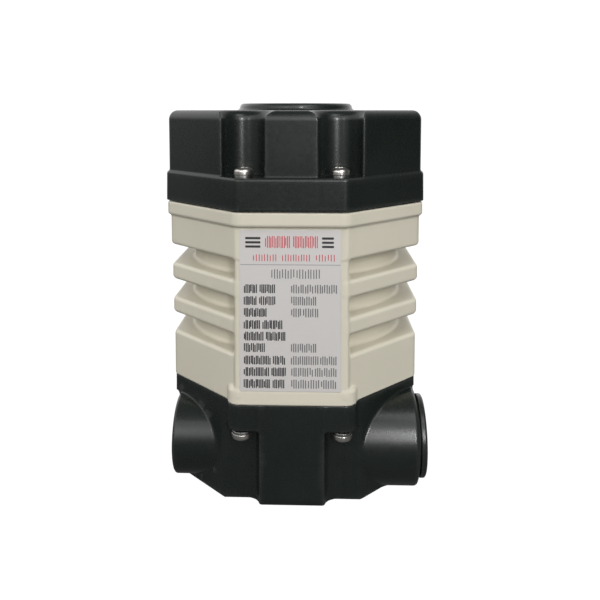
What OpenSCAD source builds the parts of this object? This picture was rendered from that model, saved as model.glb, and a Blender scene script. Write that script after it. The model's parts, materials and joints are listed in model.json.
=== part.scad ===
// Motorized quarter-turn valve actuator: octagonal three-part casting with a
// reversing synchronous motor, a five-stage spur gear train and an 11 mm
// square output. Millimetres. The origin is the centre of the valve mounting
// face, +Z is up towards the indicator window and -Y is the nameplate side.

/* [Housing] */
// Half width across flats of the base casting
base_a = 41.1; // [40.8:0.1:41.3]
// Half width across flats of the body just above the base
body_a = 41.5; // [41.3:0.05:41.6]
// Half width across flats of the body's top rim
rim_a = 43.95; // [43.5:0.05:44]
// Half width across flats of the cover's bolting flange
flange_a = 44.4; // [44.1:0.05:44.6]
// Half width across flats of the cover above the flange
cover_a = 43.5; // [43:0.1:43.8]
// Vertical corner radius of the castings
corner_r = 4; // [3:0.5:6]
// Radius of the round core between the cooling fins
core_r = 37; // [36.5:0.1:38]
// Radius of the gear chamber inside the body
cavity_r = 33.5; // [33.4:0.1:33.8]
// Half width of the plain front column that carries the nameplate
column_w = 17.7; // [17.2:0.1:17.9]

/* [Conduit entries] */
// Distance of the conduit axis in front of the output axis
conduit_y = 21.2; // [21:0.1:21.6]
// Height of the conduit axis above the mounting face
conduit_z = 15.8; // [15.6:0.1:16]
// Outside radius of the left conduit boss
boss_l_r = 12.7; // [12:0.1:13]
// Outside radius of the right conduit boss
boss_r_r = 15.2; // [14.6:0.1:15.3]
// Wall radius of the threaded conduit entries
conduit_r = 9.25; // [9:0.05:9.6]

/* [Valve interface] */
// Across flats of the square drive socket
drive_sq = 11; // [9:1:11]
// Depth of the square drive socket
drive_depth = 14; // [10:1:15]
// Pitch circle diameter of the mounting holes
mount_pcd = 50; // [50:0.5:50.5]
// Wall radius of the tapped mounting holes
mount_hole_r = 2.6; // [2.5:0.05:2.7]
// Radius of the centring recess round the drive
spigot_r = 17.5; // [17:0.1:18]

/* [Gear train] */
// Centre distance between the output axis and the gear spindle
centre_d = 18; // [18:18]
// Pressure angle of the gear teeth
pressure = 25; // [25:25]
// Tooth thinning that leaves backlash, as an arc length at the pitch circle
backlash = 0.12; // [0.1:0.01:0.16]

/* [Hidden] */
eps = 0.01;

// ---- outlines -----------------------------------------------------------

// Octagon with flats facing the axes, half width a and corner radius r.
function oct_pts(a, r, n = 4) = [for (k = [0:7]) let (
    cx = (a - r) / cos(22.5) * cos(22.5 + 45 * k),
    cy = (a - r) / cos(22.5) * sin(22.5 + 45 * k))
  for (i = [0:n]) let (t = 45 * k + 45 * i / n) [cx + r * cos(t), cy + r * sin(t)]];

// Rectangle from (x0, y0) to (x1, y1) with corner radius r.
function rrect_pts(x0, y0, x1, y1, r, n = 4) = [
  for (c = [[x1 - r, y1 - r, 0], [x0 + r, y1 - r, 90], [x0 + r, y0 + r, 180], [x1 - r, y0 + r, 270]])
  for (i = [0:n]) let (t = c[2] + 90 * i / n) [c[0] + r * cos(t), c[1] + r * sin(t)]];

module oct(a, z0, z1, r = corner_r) {
  translate([0, 0, z0]) linear_extrude(z1 - z0) polygon(oct_pts(a, r));
}
module rrect(x0, y0, x1, y1, r, z0, z1) {
  translate([0, 0, z0]) linear_extrude(z1 - z0) polygon(rrect_pts(x0, y0, x1, y1, r));
}
module rod(r, z0, z1, x = 0, y = 0, fn = 48) {
  translate([x, y, z0]) cylinder(r = r, h = z1 - z0, $fn = fn);
}
module ring(ro, ri, z0, z1, x = 0, y = 0) {
  difference() { rod(ro, z0, z1, x, y); rod(ri, z0 - 1, z1 + 1, x, y); }
}
// Removes the top edge of an octagonal prism at a 45 degree slope.
module top_chamfer(a, z, c) {
  for (k = [0:7]) rotate([0, 0, 45 * k]) translate([a - c, 0, z])
    rotate([0, 45, 0]) translate([-10, -40, 0]) cube([20, 80, 10]);
}
module bottom_chamfer(a, z, c) {
  for (k = [0:7]) rotate([0, 0, 45 * k]) translate([a - c, 0, z])
    rotate([0, -45, 0]) translate([-10, -40, -10]) cube([20, 80, 10]);
}
module four(x, y) { for (sx = [-1, 1], sy = [-1, 1]) translate([sx * x, sy * y, 0]) children(); }

// ---- gear teeth ---------------------------------------------------------

function inv_deg(a) = tan(a) * 180 / PI - a;
// Points of one involute spur gear: n teeth, module m, first tooth at angle ph.
// The addendum is 0.8 m and the dedendum 1.0 m.
function gear_pts(n, m, ph) = let (
    rp = n * m / 2, rb = rp * cos(pressure), ra = rp + 0.8 * m,
    rr = rp - 1.0 * m, r0 = max(rb, rr + 0.02),
    half = 90 / n - backlash / rp * 90 / PI,
    base = half + inv_deg(pressure), foot = base + (r0 > rr + 0.03 ? 0.15 : 0),
    k = 4)
  [for (t = [0:n - 1]) let (c = ph + 360 * t / n)
    for (p = concat(
      [[rr, -max(foot, 99 / n)], [rr, -foot]],
      [for (i = [0:k]) let (r = r0 + (ra - r0) * i / k) [r, inv_deg(acos(min(1, rb / r))) - base]],
      [for (i = [k:-1:0]) let (r = r0 + (ra - r0) * i / k) [r, base - inv_deg(acos(min(1, rb / r)))]],
      [[rr, foot]]))
    [p[0] * cos(c + p[1]), p[0] * sin(c + p[1])]];
// Tooth angle of a gear of nb teeth that meshes with a gear of na teeth and
// tooth angle pa, when the second centre lies in direction psi from the first.
function mesh_phase(psi, pa, na, nb) = psi + 180 - 180 / nb - (pa - psi) * na / nb;

module gear(n, m, ph, z0, z1) {
  translate([0, 0, z0]) linear_extrude(z1 - z0) polygon(gear_pts(n, m, ph));
}

// Tooth counts and modules of the train, from the motor to the output
n_motor = 13; n_w1 = 47; n_p1 = 13; n_w2 = 47; n_p2 = 12; n_w3 = 48;
n_p3 = 12; n_w4 = 33; n_p4 = 10; n_out = 26; n_man = 12;
m_fine = 0.6; m_mid = 0.8; m_low = 1.0;
// Axes: S is the side gear spindle, M the motor, H the hand override spindle
S = [0, -centre_d, 0];
M = [0, centre_d, 0];
H = [0, -centre_d - (n_w2 + n_man) * m_fine / 2, 0];
// Tooth angles at rest
ph_out = 0;
ph_p4 = mesh_phase(-90, ph_out, n_out, n_p4);
ph_w4 = 0;
ph_p3 = mesh_phase(90, ph_w4, n_w4, n_p3);
ph_w3 = 0;
ph_p2 = mesh_phase(-90, ph_w3, n_w3, n_p2);
ph_w2 = 0;
ph_p1 = mesh_phase(90, ph_w2, n_w2, n_p1);
ph_man = mesh_phase(-90, ph_w2, n_w2, n_man);
ph_w1 = 0;
ph_motor = mesh_phase(90, ph_w1, n_w1, n_motor);

// ---- levels -------------------------------------------------------------

z_base = 34.0;      // joint between base and body
z_flange = 25.6;    // underside of the base's bolting flange
z_bot = 2.0;        // underside of the base casting round the mounting pad
z_body = 93.7;      // top of the body
z_cover = 94.1;     // bottom of the cover
z_cflange = 104.35;  // top of the cover's flange
z_top = 125.2;      // top of the cover
z_ring = 127.6;     // top of the window ring
cs_x = 15.05; cs_y = 39.9;   // cover screws
bs_x = 15.7; bs_y = 39.9;    // base screws
post = [[19, -22.5], [-19, -22.5], [24.5, 10], [-24.5, 10]];
foot = [[22.5, -7], [-22.5, -7], [18, 21], [-18, 21]];
boss_l_end = 39.25;   // reach of the left conduit boss
boss_r_end = 40.55;   // reach of the right conduit boss
front = 42.45;       // plane of the nameplate column and bolting pads
lever_x = 12.15; lever_y = 9.0;  // pin of a switch lever

// ---- castings -----------------------------------------------------------

module base_housing() {
  color([0.13, 0.14, 0.13]) difference() {
    union() {
      difference() {
        oct(base_a, z_bot, z_base, 4);
        bottom_chamfer(base_a, z_bot, 0.7);
      }
      rod(31, 0, z_bot + 1, fn = 96);
      for (s = [-1, 1]) {
        rrect(-20.2, min(s * front, s * 30), 20.2, max(s * front, s * 30), 3.6, z_flange, z_base);
        rrect(-10.3, min(s * 42, s * 30), 10.3, max(s * 42, s * 30), 1.4, z_bot + 0.9, z_base - 0.5);
      }
      translate([0, -conduit_y, conduit_z]) rotate([0, -90, 0]) cylinder(r = boss_l_r, h = boss_l_end, $fn = 72);
      translate([0, -conduit_y, conduit_z]) rotate([0, 90, 0]) cylinder(r = boss_r_r, h = boss_r_end, $fn = 72);
    }
    // Scoops that let a driver reach the base screws
    for (s = [-1, 1], q = [-1, 1]) {
      rrect(q > 0 ? 10.4 : -32, s > 0 ? 36.6 : -52, q > 0 ? 32 : -10.4, s > 0 ? 52 : -36.6, 3.4, -5, z_flange);
      rod(3.45, -5, z_flange, q * bs_x, s * bs_y);
      rod(1.7, z_flange - 1, z_base + 1, q * bs_x, s * bs_y);
    }
    // Bevel under the front and rear edges of the foot
    for (s = [-1, 1]) translate([0, s * 42, z_bot]) rotate([45, 0, 0]) cube([30, 3.9, 3.9], center = true);
    // Gear and wiring chamber
    difference() {
      translate([0, 0, 18]) intersection() {
        linear_extrude(z_base) polygon(oct_pts(36.3, 4));
        translate([-50, -31, -1]) cube([100, 62.5, z_base + 2]);
      }
      rod(16.5, 10, z_base + 2);
      for (p = foot) rod(3.6, 10, z_base + 2, p[0], p[1]);
    }
    difference() {
      rrect(-25.5, -31, 25.5, -17, 3, 11, 20);
      rod(16.5, 10, z_base);
    }
    // Output bore, centring recess, tapped mounting holes
    rod(12.5, -1, z_base + 1);
    rod(spigot_r, -1, 1.5, fn = 72);
    for (k = [0:3]) rod(mount_hole_r, -1, 10, mount_pcd / 2 * cos(45 + 90 * k), mount_pcd / 2 * sin(45 + 90 * k));
    // Spot faces at the ends of the conduit bosses
    translate([-boss_l_end, -conduit_y, conduit_z]) rotate([0, -90, 0]) cylinder(r = boss_l_r + 0.5, h = 10, $fn = 72);
    translate([boss_r_end, -conduit_y, conduit_z]) rotate([0, 90, 0]) cylinder(r = 13.6, h = 10, $fn = 72);
    // Conduit entries
    translate([-27, -conduit_y, conduit_z]) rotate([0, -90, 0]) cylinder(r = conduit_r, h = 20, $fn = 64);
    translate([28, -conduit_y, conduit_z]) rotate([0, 90, 0]) cylinder(r = conduit_r, h = 20, $fn = 64);
    translate([-30, -conduit_y - 2.2, conduit_z + 1]) rotate([0, 90, 0]) cylinder(r = 5.5, h = 60, $fn = 40);
    // Hand override bore with a pocket for its collar
    rod(2.85, -5, z_base + 1, H[0], H[1]);
    rod(4.1, 30, z_base + 1, H[0], H[1]);
    // Groove for the joint cord
    difference() { oct(39.3, z_base - 1.5, z_base + 1, 4); oct(37.9, z_base - 2, z_base + 2, 4);
      for (s = [-1, 1]) translate([-22, s > 0 ? 30 : -50, z_base - 3]) cube([44, 20, 6]); }
    // Tapped holes for the gear plate screws
    for (p = foot) rod(1.3, 24, z_base + 3, p[0], p[1], fn = 24);
  }
  color([0.13, 0.14, 0.13]) for (p = foot) difference() {
    rod(3.5, z_base - eps, 36, p[0], p[1]);
    rod(1.3, 24, 37, p[0], p[1], fn = 24);
  }
}

module body_solid() {
  oct(body_a, z_base, 48.4);
  oct(41.9, 55.8, 60.2);
  oct(42.25, 67.4, 72.0);
  // The upper body is flush with the column on the nameplate side
  intersection() {
    oct(42.75, 79.3, 89.1 + eps);
    translate([-50, -front, 0]) cube([100, 2 * front, 100]);
  }
  oct(rim_a, 89.1, z_body);
  rod(core_r, z_base + 1, z_body - 1, fn = 96);
  for (s = [-1, 1]) {
    // Plain column over the grooves and the thickened pad at its foot
    rrect(-column_w, s > 0 ? 28 : -front, column_w, s > 0 ? front : -28, 1.2, z_base + 1, z_body - 2);
    rrect(-20.2, s > 0 ? 30 : -front, 20.2, s > 0 ? front : -30, 3.6, z_base, 39);
  }
}
module body_housing() {
  color([0.78, 0.76, 0.68]) difference() {
    body_solid();
    rod(cavity_r, z_base - 1, z_body + 1, fn = 96);
    rod(4.3, z_base - 1, 66.4, H[0], H[1]);
    // Blind tapped holes: base screws from below, cover screws from above
    four(bs_x, bs_y) rod(1.45, z_base - 1, 46);
    four(cs_x, cs_y) rod(1.45, 82, z_body + 1);
  }
}

module top_cover() {
  color([0.13, 0.14, 0.13]) difference() {
    union() {
      oct(flange_a, z_cover, z_cflange, 6);
      difference() { oct(cover_a, z_cflange - eps, z_top, 3); top_chamfer(cover_a, z_top, 1.8); }
      rod(21.1, z_top - 1, z_ring, fn = 96);
    }
    // Round pockets over the cover screws
    for (s = [-1, 1], q = [-1, 1]) {
      rod(7.35, z_cflange, z_ring + 1, q * cs_x, s * cs_y, fn = 64);
      rod(1.7, z_cover - 1, z_cflange + 1, q * cs_x, s * cs_y);
    }
    // Hollow under the cover
    intersection() {
      oct(39.9, z_cover - 1, 121.6, 4);
      translate([-50, -31, 0]) cube([100, 62, 200]);
    }
    // Window opening with a stepped seat
    rod(14.5, 110, z_ring + 1, fn = 72);
    rod(18.6, 123.4, z_ring + 1, fn = 72);
  }
}

// ---- joints of the housing ---------------------------------------------

module base_gasket() {
  color([0.08, 0.08, 0.08]) difference() {
    oct(39.25, z_base - 1.5, z_base - 0.02, 4);
    oct(37.95, z_base - 2, z_base + 2, 4);
    for (s = [-1, 1]) translate([-22.05, s > 0 ? 30 : -50, z_base - 3]) cube([44.1, 20, 6]);
  }
}
module cover_gasket() {
  color([0.06, 0.06, 0.06]) difference() {
    oct(42.6, z_body + 0.01, z_cover - 0.01, 5);
    intersection() {
      oct(40, z_body - 2, z_cover + 2, 4);
      translate([-50, -33, 0]) cube([100, 66, 200]);
    }
    four(cs_x, cs_y) rod(1.8, z_body - 2, z_cover + 2);
  }
}
// M3 pan head screw, head base at z = 0, shank down to -len
module pan_screw(len, r = 1.4, hr = 3.0, hk = 2.3) {
  difference() {
    union() {
      rod(r, -len, 0.1);
      rod(hr, 0, hk * 0.55);
      translate([0, 0, hk * 0.55 - eps]) cylinder(r1 = hr, r2 = hr * 0.62, h = hk * 0.45, $fn = 48);
    }
    for (a = [0, 90]) rotate([0, 0, a]) translate([-1.6, -0.4, hk - 1.1]) cube([3.2, 0.8, 2]);
  }
}
module cover_screws() {
  color([0.78, 0.78, 0.76]) four(cs_x, cs_y) translate([0, 0, z_cflange + 0.82]) pan_screw(20);
}
module cover_lock_washers() {
  color([0.70, 0.70, 0.68]) four(cs_x, cs_y) translate([0, 0, z_cflange + 0.01]) split_washer();
}
module base_screws() {
  color([0.78, 0.78, 0.76]) four(bs_x, bs_y) translate([0, 0, z_flange - 0.82]) mirror([0, 0, 1]) pan_screw(18);
}
module base_lock_washers() {
  color([0.70, 0.70, 0.68]) four(bs_x, bs_y) translate([0, 0, z_flange - 0.81]) split_washer();
}
module split_washer() {
  difference() {
    ring(2.75, 1.6, 0, 0.8);
    rotate([0, 0, 30]) translate([0, -0.2, -1]) cube([4, 0.4, 3]);
  }
}
module nameplate() {
  color([0.82, 0.82, 0.82]) rrect(-16.0, -front - 0.42, 15.25, -front - 0.02, 0.15, 38.5, 88.3);
}

// ---- position indicator -------------------------------------------------

module indicator_window() {
  color([0.85, 0.92, 0.95, 0.35]) union() {
    rod(16.4, 124.3, 126.1, fn = 72);
    rod(14.3, 122.6, 124.3 + eps, fn = 72);
  }
}
module window_seal() {
  color([0.08, 0.08, 0.08]) ring(18.4, 14.7, 123.45, 124.25);
}
module window_clamp_ring() {
  color([0.15, 0.16, 0.15]) difference() {
    ring(18.5, 14.9, 124.3, 127.3);
    rod(16.5, 124, 126.15, fn = 72);
  }
}
module indicator_dial() {
  color([0.85, 0.16, 0.10]) difference() {
    union() {
      rod(13.2, 116.5, 118, fn = 72);
      translate([-1.6, -12, 117.9]) cube([3.2, 24, 1.1]);
      rod(3.4, 112.05, 116.6);
    }
    rod(1.3, 111, 120);
    rod(2.9, 118.1, 121);
  }
}
module dial_screw() {
  color([0.75, 0.75, 0.73]) difference() {
    union() { rod(1.2, 109, 118.4); rod(2.7, 118.12, 119.6); }
    translate([-3, -0.35, 119]) cube([6, 0.7, 2]);
  }
}

// ---- output drive -------------------------------------------------------

module output_shaft() {
  color([0.62, 0.63, 0.64]) difference() {
    union() {
      rod(10, 1.6, 39.3, fn = 64);
      rod(12.0, 18.4, 20.4, fn = 64);
      rod(7.0, 39.3 - eps, 46.6, fn = 6);
      rod(2.0, 46.5, 96, fn = 32);
    }
    translate([-drive_sq / 2, -drive_sq / 2, 0]) cube([drive_sq, drive_sq, 1.6 + drive_depth]);
    // Groove for the seal lip
    difference() { rod(11, 4.4, 5.4); rod(9.6, 4, 6); }
  }
}
module output_gear() {
  color([0.72, 0.70, 0.66]) difference() {
    gear(n_out, m_low, ph_out, 39.5, 46.5);
    rod(7.05, 38, 48, fn = 6);
    for (k = [0:5]) rod(1.5, 38, 48, 9.4 * cos(60 * k), 9.4 * sin(60 * k), fn = 8);
  }
}
module shaft_seal() {
  color([0.10, 0.10, 0.11]) ring(12.45, 10.04, 1.8, 6.4);
}
module lower_bush() {
  color([0.72, 0.52, 0.25]) ring(12.45, 10.04, 6.6, 18.2);
}
module upper_bush() {
  color([0.72, 0.52, 0.25]) difference() {
    union() { rod(12.0, 35.0, 38.4, fn = 64); rod(12.45, 33.2, 35.0 + eps); }
    rod(10.04, 30, 40, fn = 64);
  }
}

// ---- gear frame ---------------------------------------------------------

module lower_gear_plate() {
  color([0.70, 0.71, 0.72]) difference() {
    rod(32.5, 36.02, 38, fn = 96);
    rod(12.05, 35, 39, fn = 64);
    for (p = post) rod(2.05, 35, 39, p[0], p[1], fn = 32);
    for (p = foot) rod(1.7, 35, 39, p[0], p[1], fn = 32);
    rod(1.55, 35, 39, S[0], S[1], fn = 32);
    translate([-32, -9, 35]) cube([5.5, 6, 4]);
  }
}
module upper_gear_plate() {
  color([0.70, 0.71, 0.72]) difference() {
    union() {
      rod(32.5, 64, 66, fn = 96);
      translate([-3, H[1] - 2.6, 64]) cube([6, 8, 2]);
    }
    rod(2.06, 63, 67, fn = 32);
    rod(5.2, 63, 67, M[0], M[1]);
    rod(1.55, 63, 67, S[0], S[1], fn = 32);
    rod(1.56, 63, 67, H[0], H[1], fn = 32);
    for (p = post) rod(2.05, 63, 67, p[0], p[1], fn = 32);
    for (s = [-1, 1]) rod(1.3, 63, 67, s * 17.2, M[1], fn = 24);
    translate([-32, -9, 63]) cube([5.5, 6, 4]);
  }
}
module gear_pillars() {
  color([0.66, 0.66, 0.64]) for (p = post) {
    rod(3.0, 38.02, 63.98, p[0], p[1], fn = 6);
    rod(2.0, 36.1, 66.4, p[0], p[1], fn = 32);
  }
}
module plate_screws() {
  color([0.75, 0.75, 0.73]) for (p = foot) translate([p[0], p[1], 38.02]) pan_screw(9, r = 1.25, hr = 2.6, hk = 1.9);
}
module gear_spindle() {
  color([0.60, 0.61, 0.62]) rod(1.5, 36.1, 65.9, S[0], S[1], fn = 32);
}
module thrust_washers() {
  color([0.72, 0.52, 0.25]) {
    ring(4.2, 2.1, 46.75, 47.35);
    ring(3.2, 1.6, 38.1, 39.2, S[0], S[1]);
    ring(3.2, 1.6, 59.7, 60.2, S[0], S[1]);
    ring(3.4, 2.1, 63.2, 63.9);
  }
}

// ---- gear clusters ------------------------------------------------------

// Pinion with a twelve-sided hub that carries the wheel above it
module pinion(n, m, ph, z0, z1, z2, hub, bore) {
  difference() {
    union() { gear(n, m, ph, z0, z1); rod(hub, z1 - eps, z2, fn = 12); }
    rod(bore, z0 - 1, z2 + 1, fn = 32);
  }
}
module wheel(n, m, ph, z0, z1, hub, web = 0, holes = 0, hole_r = 2) {
  difference() {
    gear(n, m, ph, z0, z1);
    rod(hub + 0.03, z0 - 1, z1 + 1, fn = 12);
    if (holes > 0) for (k = [0:holes - 1])
      rod(hole_r, z0 - 1, z1 + 1, web * cos(360 / holes * k), web * sin(360 / holes * k), fn = 12);
  }
}
module pinion_4() { color([0.62, 0.62, 0.60]) translate(S) pinion(n_p4, m_low, ph_p4, 39.4, 46.8, 52.2, 3.6, 1.55); }
module wheel_4() { color([0.78, 0.62, 0.30]) translate(S) wheel(n_w4, m_mid, ph_w4, 47.5, 52, 3.6, 8.2, 6, 2.2); }
module pinion_3() { color([0.62, 0.62, 0.60]) pinion(n_p3, m_mid, ph_p3, 47.5, 52.3, 56.2, 3.6, 2.06); }
module wheel_3() { color([0.78, 0.62, 0.30]) wheel(n_w3, m_fine, ph_w3, 53, 56, 3.6, 8.8, 6, 2.4); }
module pinion_2() { color([0.62, 0.62, 0.60]) translate(S) pinion(n_p2, m_fine, ph_p2, 52.7, 56.3, 59.5, 2.8, 1.55); }
module wheel_2() { color([0.93, 0.92, 0.86]) translate(S) wheel(n_w2, m_fine, ph_w2, 57, 59.4, 2.8, 8.4, 6, 2.4); }
module pinion_1() { color([0.62, 0.62, 0.60]) pinion(n_p1, m_fine, ph_p1, 56.6, 59.8, 63.0, 3.0, 2.06); }
module wheel_1() { color([0.93, 0.92, 0.86]) wheel(n_w1, m_fine, ph_w1, 60.5, 62.9, 3.0, 8.6, 6, 2.4); }

// ---- motor --------------------------------------------------------------

module motor_pinion() {
  color([0.78, 0.62, 0.30]) translate(M) difference() {
    gear(n_motor, m_fine, ph_motor, 60.3, 63.4);
    rod(1.52, 59, 65, fn = 10);
  }
}
module rotor_shaft() {
  color([0.62, 0.63, 0.64]) translate(M) union() {
    rod(1.5, 60.1, 63.6, fn = 10);
    rod(1.5, 63.6 - eps, 88.6, fn = 32);
  }
}
module rotor_magnet() {
  color([0.28, 0.27, 0.27]) translate(M) ring(7.4, 1.52, 69, 85.5);
}
module motor_can() {
  color([0.72, 0.73, 0.74]) translate(M) difference() {
    union() { rod(14, 67.4, 88, fn = 72); rod(3.2, 87.9, 89.4); }
    rod(13.1, 67, 87.1, fn = 72);
    rod(1.56, 80, 90, fn = 32);
  }
}
module motor_flange() {
  color([0.70, 0.71, 0.72]) difference() {
    union() {
      rod(14, 66.02, 67.38, M[0], M[1], fn = 72);
      rrect(-20.4, M[1] - 3.4, 20.4, M[1] + 3.4, 3, 66.02, 67.38);
    }
    rod(1.56, 60, 70, M[0], M[1], fn = 32);
    for (s = [-1, 1]) rod(1.6, 60, 70, s * 17.2, M[1], fn = 24);
  }
}
module stator_bobbin() {
  color([0.20, 0.20, 0.22]) translate(M) difference() {
    rod(12.9, 67.9, 86.9, fn = 72);
    rod(7.9, 67, 88, fn = 72);
    for (z = [69, 78]) ring(14, 9.2, z, z + 7.9);
  }
}
module stator_winding() {
  color([0.72, 0.36, 0.16]) translate(M) for (z = [69.05, 78.05]) ring(12.5, 9.25, z, z + 7.8);
}
module motor_screws() {
  color([0.75, 0.75, 0.73]) for (s = [-1, 1]) translate([s * 17.2, M[1], 67.4]) pan_screw(3.6, r = 1.25, hr = 2.5, hk = 1.8);
}

// ---- electrical parts ---------------------------------------------------

module run_capacitor() {
  color([0.88, 0.86, 0.80]) union() {
    rod(7.4, 67.2, 87.6, 20, -6);
    for (s = [-1, 1]) translate([20 + s * 2.6 - 0.4, -7.2, 87.5]) cube([0.8, 2.4, 2.6]);
  }
}
module capacitor_clip() {
  color([0.70, 0.71, 0.72]) difference() {
    union() {
      ring(8.1, 7.45, 72, 78, 20, -6);
      rod(8.1, 66.02, 67.1, 20, -6);
      translate([19, -14.3, 66.02]) cube([2, 0.84, 12]);
    }
    rod(1.5, 60, 70, 20, -6);
  }
}
module space_heater() {
  color([0.72, 0.66, 0.44]) difference() {
    union() {
      rrect(-25, -15, -14, 3, 1.5, 66.02, 68);
      rrect(-24, -13.5, -15, 1.5, 2, 67.9, 76);
    }
    for (y = [-11, -6, -1]) translate([-30, y - 0.7, 72]) cube([20, 1.4, 6]);
  }
}
module deck_standoffs() {
  color([0.66, 0.66, 0.64]) for (p = post) {
    rod(2.6, 66.45, 91.0, p[0], p[1], fn = 6);
    rod(1.4, 90.9, 94.4, p[0], p[1], fn = 32);
    rod(2.4, 92.65, 94.4, p[0], p[1], fn = 6);
  }
}
module switch_deck() {
  color([0.16, 0.38, 0.22]) difference() {
    rod(31.8, 91.02, 92.6, fn = 96);
    rod(4.4, 90, 94);
    for (p = post) rod(1.5, 90, 94, p[0], p[1], fn = 32);
    translate([-31.4, -9, 90]) cube([5, 6, 4]);
  }
}
module cam_sleeve() {
  color([0.78, 0.62, 0.30]) difference() {
    union() { rod(4.0, 88.5, 112, fn = 48); rod(5.2, 95.2, 96.4); }
    rod(2.03, 88, 96.2, fn = 32);
    rod(1.25, 108, 113, fn = 24);
  }
}
// Disc cam: a circle with one raised sector, ends of travel 90 degrees apart
module cam(a0, z0, z1) {
  difference() {
    union() {
      rod(8.6, z0, z1, fn = 60);
      translate([0, 0, z0]) linear_extrude(z1 - z0) polygon(concat([[0, 0]],
        [for (i = [0:8]) [10.2 * cos(a0 + 8 * i), 10.2 * sin(a0 + 8 * i)]]));
    }
    rod(4.03, z0 - 1, z1 + 1, fn = 48);
  }
}
module limit_cams() {
  color([0.85, 0.20, 0.12]) cam(110, 97.6, 101.4);
  color([0.14, 0.35, 0.65]) cam(-70, 104.2, 108);
}
module cam_set_screws() {
  color([0.30, 0.30, 0.31]) for (p = [[99.5, 40], [106.1, 220]])
    rotate([0, 0, p[1]]) translate([8.62, 0, p[0]]) rotate([0, 90, 0]) rod(1.0, 0.0, 0.8, fn = 24);
}
module micro_body(z) {
  difference() {
    union() {
      rrect(14.4, -10, 24.4, 10, 0.8, z, z + 6.2);
      // Plunger, and two ears that hold the lever's pin
      translate([13.55, -1, z + 2]) cube([1.2, 2, 2.2]);
      for (h = [0, 5.25]) translate([11.5, 8.3, z + h]) cube([3.1, 1.4, 0.95]);
      rod(0.36, z + 0.3, z + 5.9, lever_x, lever_y, fn = 24);
    }
    for (y = [-4.8, 4.8]) rod(1.25, z - 1, z + 8, 21.6, y, fn = 24);
  }
}
module limit_switches() {
  color([0.12, 0.12, 0.13]) { micro_body(96.4); mirror([1, 0, 0]) micro_body(103.0); }
  color([0.75, 0.75, 0.73]) for (y = [-4.8, 4.8]) {
    rod(1.2, 92.65, 104.2, 21.6, y, fn = 24); rod(2.3, 92.65, 96.35, 21.6, y, fn = 24);
    rod(2.2, 102.65, 104.2, 21.6, y, fn = 24);
    mirror([1, 0, 0]) { rod(1.2, 92.65, 110.8, 21.6, y, fn = 24); rod(2.3, 92.65, 102.95, 21.6, y, fn = 24);
      rod(2.2, 109.25, 110.8, 21.6, y, fn = 24); }
  }
}
// Leaf lever with a rolled eye, hinged on the pin at the end of a switch
module lever(z) {
  difference() {
    union() {
      translate([lever_x - 0.25, -8.2, z + 1.1]) cube([0.5, 8.2 + lever_y, 3.9]);
      rod(0.85, z + 1.1, z + 5.0, lever_x, lever_y, fn = 32);
    }
    rod(0.42, z, z + 6, lever_x, lever_y, fn = 24);
  }
}
module open_switch_lever() { color([0.80, 0.80, 0.78]) lever(96.4); }
module close_switch_lever() { color([0.80, 0.80, 0.78]) mirror([1, 0, 0]) lever(103.0); }
module terminal_block() {
  color([0.10, 0.32, 0.24]) difference() {
    translate([-17.5, -29.6, 94.6]) cube([35, 8.6, 9.4]);
    for (i = [0:5]) rod(2.1, 99, 105, -13.75 + 5.5 * i, -25.3, fn = 24);
    for (i = [0:5]) translate([-15.75 + 5.5 * i, -30, 95.6]) cube([4, 4, 2.8]);
  }
  color([0.10, 0.32, 0.24]) translate([-12, -28.5, 92.65]) cube([24, 6, 2]);
}
module terminal_screws() {
  color([0.75, 0.75, 0.73]) for (i = [0:5]) difference() {
    rod(1.9, 99.02, 102.6, -13.75 + 5.5 * i, -25.3, fn = 24);
    translate([-16 + 5.5 * i, -25.65, 101.8]) cube([4.5, 0.7, 2]);
  }
}
module wiring_harness() {
  color([0.75, 0.10, 0.08]) union() {
    rod(1.9, 24, 98.6, -29.6, -6, fn = 32);
    translate([-29.6, -6, 98.6]) sphere(r = 1.9, $fn = 32);
    translate([-29.6, -6, 98.6]) rotate([90, 0, 39]) cylinder(r = 1.9, h = 16.5, $fn = 32);
    translate([-29.6, -6, 24]) sphere(r = 1.9, $fn = 32);
    translate([-29.6, -6, 24]) rotate([0, 90, -86]) cylinder(r = 1.9, h = 7, $fn = 32);
  }
}

// ---- hand override ------------------------------------------------------

module override_spindle() {
  color([0.66, 0.66, 0.64]) difference() {
    union() {
      rod(2.75, 1.3, 30.0, H[0], H[1], fn = 32);
      rod(3.9, 30.2, 31.6, H[0], H[1], fn = 32);
      rod(1.5, 29.9, 56.4, H[0], H[1], fn = 32);
      rod(1.5, 56.4 - eps, 60.2, H[0], H[1], fn = 10);
      rod(1.5, 60.2 - eps, 66.2, H[0], H[1], fn = 32);
    }
    translate([H[0], H[1], 0]) cylinder(r = 1.5, h = 4.3, $fn = 6);
  }
}
module override_pinion() {
  color([0.62, 0.62, 0.60]) translate(H) difference() {
    gear(n_man, m_fine, ph_man, 56.6, 59.9);
    rod(1.52, 56, 61, fn = 10);
  }
}

// ---- conduit plug -------------------------------------------------------

module conduit_plug() {
  color([0.12, 0.13, 0.12]) translate([boss_r_end, -conduit_y, conduit_z]) rotate([0, 90, 0]) difference() {
    union() {
      rod(12.9, 0.8, 2.7, fn = 72);
      rod(9.2, -10.5, 0.9, fn = 64);
    }
    rod(6.5, -11, -1.5, fn = 48);
  }
}
module plug_seal() {
  color([0.06, 0.06, 0.06]) translate([boss_r_end, -conduit_y, conduit_z]) rotate([0, 90, 0])
    ring(12.3, 9.5, 0.02, 0.78);
}

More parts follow.
